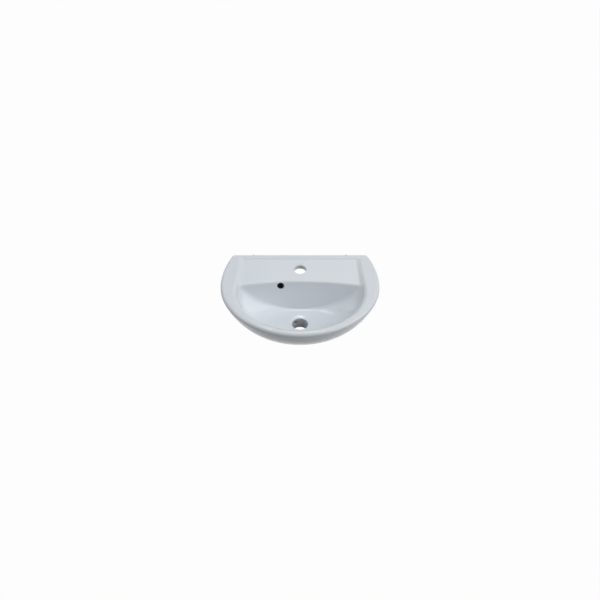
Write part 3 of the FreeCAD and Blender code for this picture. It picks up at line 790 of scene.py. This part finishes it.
def layered(tree, below, above, mask):
    # colour above where mask is 1, colour below where it is 0
    made = add(tree, "ShaderNodeMix", data_type="RGBA")
    tree.links.new(mask, made.inputs["Factor"])
    tree.links.new(below, made.inputs[6])
    tree.links.new(above, made.inputs[7])
    return made.outputs[2]


# drift, haze, wave, clay and grain are noises: (scale, detail)
glaze = dict(
    cool=(0.77, 0.805, 0.835), pale=(0.785, 0.815, 0.84), drift=(9.0,), driftSpan=(0.35, 0.65),
    gloss=(0.13, 0.20), haze=(38.0,), specular=0.5, waveDepth=0.00035, wave=(26.0, 1.0),
    biscuit=(0.56, 0.545, 0.51), biscuitDark=0.92, biscuitRoughness=0.8, clay=(160.0, 4.0),
    wallEdge=-0.0006, footEdge=-0.0744, grain=(240.0, 3.0),
    # bore and hollow are painted shade: the greyed waste bore and the near-black overflow passage
    bore=(0.60, 0.61, 0.63), boreDark=0.9, boreRadius=0.0229, hollow=(0.09, 0.092, 0.095), hollowDark=0.8,
    passageBehind=ribRadius * mm, passageDrop=0.016, passageRadii=(0.0135, 0.0120, 0.027))

tree, shader = material("glazed_china", [china])
drift = ramp(tree, noise(tree, *glaze["drift"]), zip(glaze["driftSpan"], (glaze["cool"], glaze["pale"])))
bare = mottled(tree, noise(tree, *glaze["clay"]), glaze["biscuit"], glaze["biscuitDark"])
# unglazed where the basin was fired standing and where it meets the wall
place = add(tree, "ShaderNodeSeparateXYZ")
tree.links.new(add(tree, "ShaderNodeTexCoord").outputs["Object"], place.inputs["Vector"])
atWall = calculate(tree, "GREATER_THAN", place.outputs["Y"], glaze["wallEdge"])
atFoot = calculate(tree, "LESS_THAN", place.outputs["Z"], glaze["footEdge"])
unglazed = calculate(tree, "MAXIMUM", atWall, atFoot)
# painted shade: greyer in the waste hole, and dark in the overflow passage, where little light gets in
boreShadeMask = within(tree, (0, -basin["wasteGap"] * mm, 0), (glaze["boreRadius"], glaze["boreRadius"], 0))
passageMiddle = overflowSeat * mm + [0, glaze["passageBehind"], -glaze["passageDrop"]]
passageShadeMask = within(tree, tuple(passageMiddle), glaze["passageRadii"])
grain = noise(tree, *glaze["grain"])
surface = layered(tree, drift, bare, unglazed)
# painted shade: the waste bore's walls are coloured grey where little light reaches them
surface = layered(tree, surface, mottled(tree, grain, glaze["bore"], glaze["boreDark"]), boreShadeMask)
# painted shade: the overflow passage is coloured near black, as if unlit
surface = layered(tree, surface, mottled(tree, grain, glaze["hollow"], glaze["hollowDark"]), passageShadeMask)
tree.links.new(surface, shader.inputs["Base Color"])
sheen = calculate(tree, "MULTIPLY_ADD", passageShadeMask, -glaze["specular"], glaze["specular"])
tree.links.new(sheen, shader.inputs["Specular IOR Level"])
dull = calculate(tree, "MAXIMUM", calculate(tree, "MAXIMUM", boreShadeMask, passageShadeMask), unglazed)
gloss = add(tree, "ShaderNodeMix", data_type="FLOAT")
tree.links.new(dull, gloss.inputs["Factor"])
tree.links.new(spread(tree, noise(tree, *glaze["haze"]), *glaze["gloss"]), gloss.inputs[2])
gloss.inputs[3].default_value = glaze["biscuitRoughness"]
tree.links.new(gloss.outputs[0], shader.inputs["Roughness"])
bump(tree, shader, noise(tree, *glaze["wave"]), glaze["waveDepth"])


def plainMaterial(name, pieces, metallic, grain, dark, light, blur, rough):
    # colour from dark to light and roughness from low to high, by the noises grain and blur
    tree, shader = material(name, pieces, metallic)
    tree.links.new(ramp(tree, noise(tree, *grain), zip(noiseSpan, (dark, light))), shader.inputs["Base Color"])
    tree.links.new(spread(tree, noise(tree, *blur), *rough), shader.inputs["Roughness"])
    return tree, shader


steel = dict(
    metallic=1.0, grain=(420.0, 4.0), dark=(0.50, 0.52, 0.55), light=(0.68, 0.69, 0.70),
    blur=(900.0, 3.0), rough=(0.26, 0.44))
plating = dict(noise=(1500.0, 3.0), depth=0.00003)
nylon = dict(
    metallic=0.0, grain=(260.0, 3.0), dark=(0.20, 0.21, 0.22), light=(0.25, 0.26, 0.27),
    blur=(700.0, 2.0), rough=(0.42, 0.58))
plastic = dict(
    metallic=0.0, grain=(200.0, 3.0), dark=(0.74, 0.74, 0.71), light=(0.79, 0.79, 0.76),
    blur=(600.0, 2.0), rough=(0.34, 0.46))

tree, shader = plainMaterial("zinc_steel", metalPieces, **steel)
bump(tree, shader, noise(tree, *plating["noise"]), plating["depth"])
plainMaterial("grey_nylon", nylonPieces, **nylon)
plainMaterial("white_plastic", bushPieces, **plastic)
print("materials ready")

# Photograph's view: from above the front, straight across the basin
view = dict(target=(0.0, -0.1296, 0.0), elevation=42.8, distance=2.5, lens=52.3, sensor=36.0, nearClip=0.01)
cameraData = bpy.data.cameras.new("camera")
camera = bpy.data.objects.new("camera", cameraData)
bpy.context.scene.collection.objects.link(camera)
bpy.context.scene.camera = camera
up = math.radians(view["elevation"])
camera.location = Vector(view["target"]) + view["distance"] * Vector((0, -math.cos(up), math.sin(up)))
camera.rotation_euler = (math.pi / 2 - up, 0, 0)
cameraData.lens = view["lens"]
cameraData.sensor_width = view["sensor"]
cameraData.clip_start = view["nearClip"]

studio = dict(
    floorLevel=-0.0752, floorSize=9.0, floorColor=(0.145, 0.15, 0.155), floorRoughness=0.9,
    whiteShare=0.98, sky=(0.93, 0.965, 1.0), skyStrength=0.24, aim=(0, -0.15, 0))

# name, place, width, height, power and colour of each softbox
lamps = [
    ("key_right", (2.4, -1.0, 2.1), 3.4, 2.8, 55, (0.97, 0.985, 1.0)),
    ("over_head", (-0.12, 0.42, 2.2), 1.1, 0.28, 11.5, (0.95, 0.975, 1.0)),
    ("fill_left", (-2.0, -0.6, 1.5), 1.4, 1.0, 7, (0.95, 0.975, 1.0)),
    ("glow_behind", (0.2, 1.62, 2.05), 1.0, 0.35, 1.1, (0.97, 0.985, 1.0))]


def seenDirectly(tree):
    # 1 for camera, glossy and transmission rays
    path = add(tree, "ShaderNodeLightPath")
    either = calculate(tree, "MAXIMUM", path.outputs["Is Camera Ray"], path.outputs["Is Glossy Ray"])
    return calculate(tree, "MAXIMUM", either, path.outputs["Is Transmission Ray"])


def blended(tree, factor, below, above):
    # shader above where factor is 1, shader below where it is 0
    both = add(tree, "ShaderNodeMixShader")
    for socket, source in zip(both.inputs, (factor, below, above)):
        tree.links.new(source, socket)
    return both.outputs[0]


size = studio["floorSize"] / 2
corners = np.array([(x * size, y * size, studio["floorLevel"]) for x, y in ((-1, -1), (1, -1), (1, 1), (-1, 1))])
floor = meshFrom("studio_floor", corners, np.array([[0, 1, 2, 3]]), False)
tree, shader = material("studio_floor", [floor], roughness=studio["floorRoughness"])
shader.inputs["Base Color"].default_value = (*studio["floorColor"], 1)
# mostly white to the camera, so that only a trace of the shadow shows
white = add(tree, "ShaderNodeEmission", Color=(1, 1, 1, 1), Strength=1.0)
share = calculate(tree, "MULTIPLY", seenDirectly(tree), studio["whiteShare"])
fromAbove = blended(tree, share, shader.outputs[0], white.outputs[0])
# clear from underneath, so that the outlet can be looked at from below
below = add(tree, "ShaderNodeNewGeometry").outputs["Backfacing"]
clear = add(tree, "ShaderNodeBsdfTransparent").outputs[0]
tree.links.new(blended(tree, below, fromAbove, clear), tree.nodes["Material Output"].inputs["Surface"])

world = bpy.data.worlds.new("studio")
bpy.context.scene.world = world
world.use_nodes = True
tree = world.node_tree
sky = tree.nodes["Background"]
sky.inputs["Color"].default_value = (*studio["sky"], 1)
sky.inputs["Strength"].default_value = studio["skyStrength"]
white = add(tree, "ShaderNodeBackground", Color=(1, 1, 1, 1), Strength=1.0)
tree.links.new(blended(tree, seenDirectly(tree), sky.outputs[0], white.outputs[0]),
               tree.nodes["World Output"].inputs["Surface"])

for name, place, width, height, power, color in lamps:
    lamp = bpy.data.lights.new(name, "AREA")
    lamp.shape = "RECTANGLE"
    lamp.size, lamp.size_y, lamp.energy, lamp.color = width, height, power, color
    holder = bpy.data.objects.new(name, lamp)
    holder.location = place
    holder.rotation_euler = (Vector(studio["aim"]) - Vector(place)).to_track_quat("-Z", "Y").to_euler()
    bpy.context.scene.collection.objects.link(holder)
print("studio ready")

bpy.context.scene.view_settings.view_transform = "Standard"
